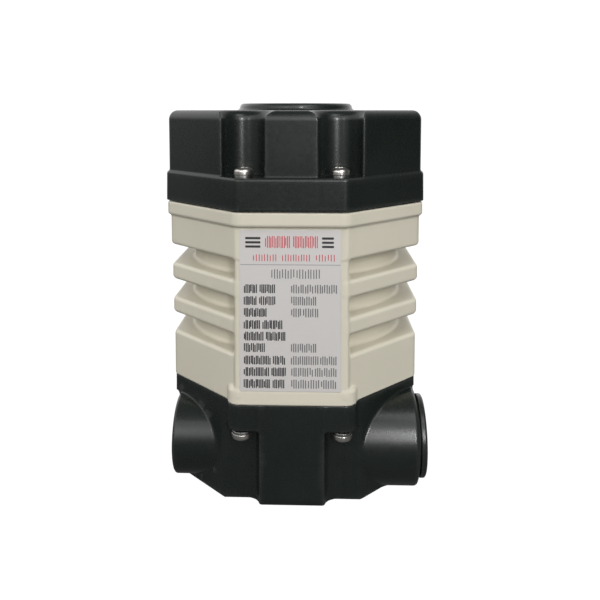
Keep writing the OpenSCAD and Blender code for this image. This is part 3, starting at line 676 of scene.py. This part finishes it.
def pan_screw(name, length, r=1.4, hr=3.12, hk=2.4):
    """Cross-recessed pan head screw, head seat at z = 0, shank down."""

    def head(x, y, z):
        rr = np.sqrt(x * x + y * y)
        side = rr - hr
        dome = np.sqrt(rr * rr + (z + 3.35) ** 2) - (hk + 3.35)
        d = rint(side, dome, 0.45)
        d = rint(d, -z, 0.12)
        ax_, ay_ = np.abs(x), np.abs(y)
        w = 0.46 + 0.10 * np.clip(z - 1.0, 0, 2)
        reach = 1.55 - 0.55 * np.clip(hk - z, 0, 2)
        cross = np.minimum(np.maximum(ax_ - w, ay_ - reach), np.maximum(ay_ - w, ax_ - reach))
        bulb = rr - (1.0 - 0.45 * np.clip(hk - z, 0, 2))
        cross = np.minimum(cross, bulb)
        cross = np.maximum(cross, (hk - 1.35) - z)
        return rcut(d, cross, 0.10)

    h = solid(name, head, (-3.3, -3.3, -0.25), (3.3, 3.3, 2.7), 0.13, 0.5)
    prof = [(0.0, 0.02)]
    pitch = 0.5
    z = 0.02
    prof.append((r, z))
    z = -1.0
    while z > -length + 0.6:
        prof += [(r, z), (r - 0.28, z - pitch / 2)]
        z -= pitch
    prof += [(r - 0.3, -length + 0.3), (r - 0.7, -length), (0.0, -length)]
    s = lathe(name + "_shank", prof, 28, closed=False, sharp=50)
    return join(name, [h, s])


def spring_washer(name, ro=2.95, ri=1.62, t=0.74):
    """Split spring washer: one turn of a square-section ring whose ends stand slightly apart."""
    n = 64
    V, F = [], []
    for i in range(n + 1):
        a = math.radians(34 + 348 * i / n)
        lift = 0.04 * (i / n - 0.5)
        for rad, z in (
            (ri + 0.05, lift), (ro - 0.05, lift), (ro, lift + 0.06), (ro, lift + t - 0.06),
            (ro - 0.05, lift + t), (ri + 0.05, lift + t), (ri, lift + t - 0.06), (ri, lift + 0.06),
        ):
            V.append((rad * math.cos(a), rad * math.sin(a), z + 0.03))
    for i in range(n):
        for j in range(8):
            k = (j + 1) % 8
            F.append((i * 8 + j, i * 8 + k, (i + 1) * 8 + k, (i + 1) * 8 + j))
    F.append(tuple(range(7, -1, -1)))
    F.append(tuple(n * 8 + j for j in range(8)))
    me = make_mesh(name, V, F)
    fix_normals(me)
    smooth_all(me)
    me.set_sharp_from_angle(angle=math.radians(35))
    return add_object(name, me)


def at(x, y, z, turn=0.0, down=False):
    m = Matrix.Translation(Vector((x, y, z)) * MM) @ Matrix.Rotation(math.radians(turn), 4, "Z")
    return m @ Matrix.Rotation(math.pi, 4, "X") if down else m


CS = [(CS_X, -39.9, 12), (-CS_X, -39.9, 55), (CS_X, 39.9, 80), (-CS_X, 39.9, 31)]
BS = [(15.7, -39.9, 20), (-15.7, -39.9, 71), (15.7, 39.9, 44), (-15.7, 39.9, 5)]
screw = pan_screw("screw_a", 19.8)
cover_screws = placed(screw, [at(x, y, Z_CFL + 0.84, a) for x, y, a in CS], "cover_screw_set")
screw = pan_screw("screw_b", 17.8)
base_screws = placed(screw, [at(x, y, Z_FLANGE - 0.84, a, True) for x, y, a in BS], "base_screw_set")
ring_a = spring_washer("washer_a")
cover_washers = placed(ring_a, [at(x, y, Z_CFL + 0.01, a * 3) for x, y, a in CS], "cover_spring_washers")
ring_b = spring_washer("washer_b")
base_washers = placed(ring_b, [at(x, y, Z_FLANGE - 0.01, a * 3, True) for x, y, a in BS], "base_spring_washers")
for piece, node_name, key in (
    (cover_screws, "cover_screws", "nickel"),
    (base_screws, "base_screws", "nickel"),
    (cover_washers, "cover_lock_washers", "washer_steel"),
    (base_washers, "base_lock_washers", "washer_steel"),
):
    dress(piece, key)
    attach(piece, ROOT)
    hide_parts(node_name)

# ------------------------------------------------------------------ conduit plug


def plug_field(x, y, z):
    rb = np.sqrt((y - CON_Y) ** 2 + (z - CON_Z) ** 2)
    X = x - 40.55
    head = rint(rint(rb - 12.9 + 0 * x, X - 2.7, 0.75), 0.8 - X, 0.3)
    crown = rb - 11.6
    head = rcut(head, np.maximum(crown, 2.45 - X), 0.12)
    body_ = rint(rb - 9.2 + 0 * x, -10.5 - X, 0.8)
    thread = 9.2 - 0.28 * np.abs(((X / 1.5) % 1.0) - 0.5) * 2
    body_ = np.maximum(np.maximum(body_, rb - thread), X - 1.2)
    d = runi(head, body_, 0.2)
    d = np.maximum(d, -np.maximum(rb - 6.5, X + 1.5))
    # hexagon key socket in the face
    ay_, az_ = np.abs(y - CON_Y), np.abs(z - CON_Z)
    hexa = np.maximum(az_ * 0.866 + ay_ * 0.5, ay_) - 4.0
    d = rcut(d, np.maximum(hexa, 0.6 - X), 0.25)
    return d


plug = solid("conduit_plug_cap", plug_field, (29.3, -34.8, 2.2), (43.7, -7.6, 29.4), 0.34, 0.4)
dress(plug, "black_cast")
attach(plug, "plug")
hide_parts("conduit_plug")
oring = lathe(
    "plug_o_ring",
    arc(11.85, 40.95, 0.38, 0, 330, 11),
    96, True, "x", (0, CON_Y, CON_Z), 60,
)
dress(oring, "seal_rubber")
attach(oring, "plug")
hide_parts("plug_seal")

# ------------------------------------------------------------------ window and dial

lens = lathe(
    "window_lens",
    [(0, 125.95), (4, 125.9), (8, 125.75), (12, 125.5), (15.4, 125.2), (16.2, 125.0), (16.4, 124.8), (16.4, 124.36),
     (14.3, 124.3), (14.25, 122.9), (14.0, 122.65), (12.8, 122.7), (8, 122.95), (4, 123.05), (0, 123.1)],
    128, closed=False, sharp=50,
)
dress(lens, "clear_window")
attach(lens, ROOT)
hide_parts("indicator_window")
clamp = lathe(
    "window_bezel",
    [(14.95, 126.2)] + arc(15.25, 126.9, 0.35, 180, 90, 4) + [(17.7, 127.25)] + arc(17.9, 126.9, 0.35, 90, 0, 4)
    + [(18.3, 124.35), (16.55, 124.32), (16.55, 126.15)],
    128, sharp=40,
)
dress(clamp, "black_cast")
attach(clamp, ROOT)
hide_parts("window_clamp_ring")

face = lathe(
    "dial_face",
    [(1.3, 112.05), (3.3, 112.05), (3.4, 112.2), (3.4, 116.3), (3.7, 116.5), (12.9, 116.5), (13.2, 116.75),
     (13.2, 117.8), (13.0, 118.0), (1.3, 118.0)],
    96, sharp=40,
)
dress(face, "dial_white")


def ring_sector(name, r0, r1, a0, a1, z0, z1, n=24):
    V, F = [], []
    for i in range(n + 1):
        a = math.radians(a0 + (a1 - a0) * i / n)
        for r, z in ((r0, z0), (r1, z0), (r1, z1), (r0, z1)):
            V.append((r * math.cos(a), r * math.sin(a), z))
    for i in range(n):
        for j in range(4):
            k = (j + 1) % 4
            F.append((i * 4 + j, i * 4 + k, i * 4 + 4 + k, i * 4 + 4 + j))
    F += [(3, 2, 1, 0), tuple(n * 4 + j for j in range(4))]
    me = make_mesh(name, V, F)
    fix_normals(me)
    return add_object(name, me)


def plate(name, pts, z0, z1):
    n = len(pts)
    V = [(x, y, z0) for x, y in pts] + [(x, y, z1) for x, y in pts]
    F = [tuple(range(n - 1, -1, -1)), tuple(range(n, 2 * n))] + [(i, (i + 1) % n, (i + 1) % n + n, i + n) for i in range(n)]
    me = make_mesh(name, V, F)
    fix_normals(me)
    return add_object(name, me)


parts = [face]
for a0, a1, key in ((-30, 30, "dial_red"), (150, 210, "dial_red"), (60, 120, "dial_green"), (240, 300, "dial_green")):
    parts.append(dress(ring_sector("sector", 9.0, 11.6, a0, a1, 117.96, 118.1), key))
for k in range(24):
    a = 15 * k
    parts.append(dress(ring_sector("tick", 11.9, 12.7, a - 0.7, a + 0.7, 117.96, 118.08, 2), "dial_ink"))
arrow = [(-1.5, -10.5), (1.5, -10.5), (1.5, 6.2), (3.3, 6.2), (0, 11.4), (-3.3, 6.2), (-1.5, 6.2)]
pointer = plate("pointer", arrow, 117.95, 118.95)
mod = pointer.modifiers.new("b", "BEVEL")
mod.width, mod.segments = 0.18 * MM, 2
dg = bpy.context.evaluated_depsgraph_get()
pointer.data = bpy.data.meshes.new_from_object(pointer.evaluated_get(dg))
pointer.modifiers.clear()
parts.append(dress(pointer, "dial_red"))
dial = join("position_dial", parts)
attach(dial, "output_drive")
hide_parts("indicator_dial")

# ------------------------------------------------------------------ nameplate

X0, X1, ZA, ZB = -16.0, 15.25, 38.5, 88.3
FACE = -FRONT - 0.02
V, F = strip("plate", rrect(X0, ZA, X1, ZB, 0.35), FACE, FACE - 0.34)
me = make_mesh("nameplate_foil", V, F)
fix_normals(me)
foil = add_object("nameplate_foil", me)
mod = foil.modifiers.new("b", "BEVEL")
mod.width, mod.segments, mod.limit_method = 0.1 * MM, 2, "ANGLE"
dg = bpy.context.evaluated_depsgraph_get()
foil.data = bpy.data.meshes.new_from_object(foil.evaluated_get(dg))
foil.modifiers.clear()
dress(foil, "plate_foil")
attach(foil, ROOT)
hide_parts("nameplate")

# Print: plain strokes and bars in the places of the rating table. No lettering.
rng = np.random.RandomState(7)
ink = {"ink_red": ([], []), "ink_dark": ([], []), "ink_grey": ([], []), "ink_line": ([], [])}
W = X1 - X0


def bar(key, x0, z0, x1, z1, r=0.2):
    v, f = strip("bar", rrect(x0, z0, x1, z1, min(r, (x1 - x0) / 2.05, (z1 - z0) / 2.05), 2), FACE - 0.33, FACE - 0.37)
    Vs, Fs = ink[key]
    off = len(Vs)
    Vs += v
    Fs += [tuple(i + off for i in q) for q in f]


def words(key, x0, x1, zc, h, sizes, gap, pitch, w):
    """Groups of thin upright strokes that fill x0..x1: the look of small print without any lettering."""
    total = x1 - x0 - gap * (len(sizes) - 1)
    x = x0
    for s in sizes:
        span = total * s / sum(sizes)
        n = max(2, int(round(span / pitch)))
        for i in range(n):
            c = x + w / 2 + (span - w) * i / (n - 1) + rng.uniform(-0.06, 0.06)
            top = h / 2 - (0.0 if i % 3 else rng.uniform(0.0, 0.22) * h)
            low = -h / 2 + (0.0 if i % 4 else rng.uniform(0.0, 0.22) * h)
            bar(key, c - w / 2, zc + low, c + w / 2, zc + top, 0.04)
        x += span + gap


def px(u):  # across the plate, 0 to 1
    return X0 + W * u


def pz(v):  # down the plate, 0 to 1
    return ZB - (ZB - ZA) * v


bar("ink_line", px(0.004), pz(0.217), px(0.996), pz(0.213), 0.05)
for i in range(3):  # a plain block of bars at each end of the heading
    bar("ink_dark", px(0.054), pz(0.058 + 0.026 * i), px(0.205), pz(0.044 + 0.026 * i), 0.2)
    bar("ink_dark", px(0.812), pz(0.058 + 0.026 * i), px(0.930), pz(0.044 + 0.026 * i), 0.2)
words("ink_red", px(0.253), px(0.769), pz(0.074), 3.7, [8, 8], 1.0, 0.52, 0.26)
words("ink_red", px(0.134), px(0.935), pz(0.172), 2.1, [5, 6, 4], 1.9, 0.80, 0.25)
words("ink_grey", px(0.312), px(0.790), pz(0.272), 2.9, [3, 3], 0.8, 0.80, 0.30)
rows = [
    (0.364, 0.350, [5, 6], 0.960, [6, 6]), (0.438, 0.350, [4, 5], 0.755, [3]), (0.511, 0.267, [7], 0.775, [2, 3]),
    (0.586, 0.420, [5, 6], 0, None), (0.658, 0.452, [6, 6], 0, None), (0.729, 0.248, [6], 0.755, [4]),
    (0.806, 0.446, [9, 4], 0.955, [5, 3]), (0.878, 0.455, [7, 4], 0.955, [4, 4]), (0.952, 0.441, [9, 4], 0.950, [4, 3, 4]),
]
for v, e0, left, e1, right in rows:
    words("ink_dark", px(0.040), px(e0), pz(v), 2.7, left, 0.8, 0.52, 0.36)
    if right:
        words("ink_grey", px(0.508), px(e1), pz(v), 2.7, right, 0.6, 0.66, 0.34)
marks = []
for key, (Vs, Fs) in ink.items():
    me = make_mesh(key, Vs, Fs)
    fix_normals(me)
    marks.append(dress(add_object(key, me), key))
prints = join("nameplate_print", marks)
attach(prints, ROOT)

# ------------------------------------------------------------------ floor, light and camera


WALLS = {"left": 0.94, "right": 0.0, "front": 1.35, "back": 1.25, "floor": 0.10}


def studio():
    """A pale floor that sweeps up into a pale wall all round."""
    prof = [(0.0, 0.0), (0.5, 0.0), (1.1, 0.0)] + [
        (1.1 + 0.9 * math.sin(math.radians(t)), 0.9 - 0.9 * math.cos(math.radians(t))) for t in range(6, 91, 6)
    ] + [(2.0, 2.6)]
    n = 96
    V, F, rings = [], [], []
    for r, z in prof:
        if r == 0:
            rings.append([0])
            V.append((0, 0, z))
        else:
            rings.append(list(range(len(V), len(V) + n)))
            V += [(r * math.cos(2 * math.pi * i / n), r * math.sin(2 * math.pi * i / n), z) for i in range(n)]
    for a, b in zip(rings, rings[1:]):
        for i in range(n):
            j = (i + 1) % n
            F.append((a[0], b[i], b[j]) if len(a) == 1 else (a[i], b[i], b[j], a[j]))
    me = bpy.data.meshes.new("studio_floor")
    me.from_pydata(V, [], F)
    me.update()
    smooth_all(me)
    o = add_object("studio_floor", me)
    o.location = (0, 0, CAD_BOX[0][2] - 0.0002)
    m = Nodes("pale_floor")
    t = m.t
    geo = t.nodes.new("ShaderNodeNewGeometry")
    sep = t.nodes.new("ShaderNodeSeparateXYZ")
    m.link(geo.outputs["Position"], sep.inputs[0])
    # what the object sees: a dim floor and soft walls, light behind it and on its left
    x, y, z = sep.outputs[0], sep.outputs[1], sep.outputs[2]
    parts = {
        "left": m.ramp(x, -1.9, -0.5, 1.0, 0.0),
        "right": m.ramp(x, 0.5, 1.9, 0.0, 1.0),
        "front": m.ramp(y, -1.9, -1.0, 1.0, 0.0),
    }
    rise = m.ramp(z, 0.0, 0.7, 0.15, 1.0)
    total = None
    for key, field in parts.items():
        share = m.math("MULTIPLY", m.math("MULTIPLY", field, rise), WALLS[key])
        total = share if total is None else m.math("ADD", total, share)
    horizon = m.math("MULTIPLY", m.ramp(y, 0.42, 1.6, 0.0, 1.0), m.ramp(z, 0.25, 1.3, 1.0, 0.45))
    total = m.math("ADD", total, m.math("MULTIPLY", horizon, WALLS["back"]))
    glow = t.nodes.new("ShaderNodeEmission")
    low = m.math("MULTIPLY", m.ramp(z, 0.0, 0.5, 1.0, 0.0), m.ramp(x, 0.5, 1.5, 1.0, 0.0))
    m.link(m.math("ADD", total, m.math("MULTIPLY", low, WALLS["floor"])), glow.inputs["Strength"])
    # what the camera sees: a pale floor with a faint shadow
    m.link(m.mix(m.noise(2.0, 3.0), (0.80, 0.80, 0.80), (0.82, 0.82, 0.82)), m.b.inputs["Base Color"])
    m.set(rough=0.9, spec=0.0)
    white = t.nodes.new("ShaderNodeEmission")
    white.inputs["Strength"].default_value = 1.12
    pale = t.nodes.new("ShaderNodeMixShader")
    pale.inputs[0].default_value = 0.10
    m.link(white.outputs[0], pale.inputs[1])
    m.link(m.b.outputs[0], pale.inputs[2])
    path = t.nodes.new("ShaderNodeLightPath")
    pick = t.nodes.new("ShaderNodeMixShader")
    m.link(path.outputs["Is Camera Ray"], pick.inputs[0])
    m.link(glow.outputs[0], pick.inputs[1])
    m.link(pale.outputs[0], pick.inputs[2])
    m.link(pick.outputs[0], m.out.inputs[0])
    o.data.materials.append(m.mat)


studio()


def area(name, loc, target, size, power, colour=(1, 1, 1), size_y=None):
    data = bpy.data.lights.new(name, "AREA")
    data.energy = power
    data.color = colour
    data.size = size
    if size_y:
        data.shape = "RECTANGLE"
        data.size_y = size_y
    o = bpy.data.objects.new(name, data)
    bpy.context.scene.collection.objects.link(o)
    o.location = loc
    o.rotation_mode = "QUATERNION"
    o.rotation_quaternion = (Vector(target) - Vector(loc)).to_track_quat("-Z", "Y")
    return o


MID = (0, 0, 0.065)


def soft(name, az, el, dist, size, power, size_y=None, target=MID):
    """A softbox at an azimuth (degrees to the right of the front) and an elevation."""
    a, e = math.radians(az), math.radians(el)
    loc = (
        target[0] + dist * math.cos(e) * math.sin(a),
        target[1] - dist * math.cos(e) * math.cos(a),
        target[2] + dist * math.sin(e),
    )
    return area(name, loc, target, size, power, size_y=size_y)


soft("key", 14.5, 17, 1.0, 0.08, 3.65, size_y=0.42)
soft("second", -18.5, 17, 1.0, 0.07, 0.55, size_y=0.42)
soft("high_right", 32, 60, 1.2, 0.45, 1.6, size_y=0.45)
for side, az, el, power in (("fill_right", 82, 28, 3.3), ("fill_left", -82, 32, 1.1), ("fill_top", 0, 66, 1.0)):
    soft(side, az, el, 1.2, 0.5, power).visible_glossy = False

world = bpy.data.worlds.new("studio_world")
world.use_nodes = True
wt = world.node_tree
for w in list(wt.nodes):
    wt.nodes.remove(w)
w_out = wt.nodes.new("ShaderNodeOutputWorld")
w_mix = wt.nodes.new("ShaderNodeMixShader")
w_path = wt.nodes.new("ShaderNodeLightPath")
w_dim = wt.nodes.new("ShaderNodeBackground")
w_pale = wt.nodes.new("ShaderNodeBackground")
w_dim.inputs[1].default_value = 0.15
w_pale.inputs[0].default_value = (1, 1, 1, 1)
w_pale.inputs[1].default_value = 1.0
wt.links.new(w_path.outputs["Is Camera Ray"], w_mix.inputs[0])
wt.links.new(w_dim.outputs[0], w_mix.inputs[1])
wt.links.new(w_pale.outputs[0], w_mix.inputs[2])
wt.links.new(w_mix.outputs[0], w_out.inputs[0])
bpy.context.scene.world = world
bpy.context.scene.view_settings.view_transform = "Standard"
bpy.context.scene.view_settings.look = "None"
bpy.context.scene.view_settings.exposure = 0.0

YAW = math.radians(1.85)
DIST, EYE = 0.2553, 0.1256
cam_data = bpy.data.cameras.new("camera")
cam_data.sensor_width = 36.0
cam_data.lens = 690.0 / 600.0 * 36.0
cam_data.clip_start, cam_data.clip_end = 0.01, 20.0
cam = bpy.data.objects.new("camera", cam_data)
bpy.context.scene.collection.objects.link(cam)
cam.rotation_mode = "QUATERNION"
back = Vector((math.sin(YAW), -math.cos(YAW), 0.0))
cam.location = back * DIST + Vector((0, 0, EYE))
cam.rotation_quaternion = (-back).to_track_quat("-Z", "Y")
bpy.context.scene.camera = cam


def shift(channel, value):
    """A level view with a risen lens. The shift belongs to this one place of the camera, so it is zero wherever else the camera stands."""
    drv = cam_data.driver_add(channel).driver
    drv.type = "SCRIPTED"
    for name, kind in (("x", "LOC_X"), ("y", "LOC_Y"), ("z", "LOC_Z")):
        v = drv.variables.new()
        v.name = name
        v.type = "TRANSFORMS"
        v.targets[0].id = cam
        v.targets[0].transform_type = kind
        v.targets[0].transform_space = "WORLD_SPACE"
    drv.expression = (
        f"{value:.6f} if abs(x - {cam.location.x:.6f}) + abs(y - {cam.location.y:.6f}) + abs(z - {cam.location.z:.6f}) < 0.001 else 0.0"
    )


shift("shift_x", (300 - 296.0) / 600.0)
shift("shift_y", (109.0 - 300.0) / 600.0)
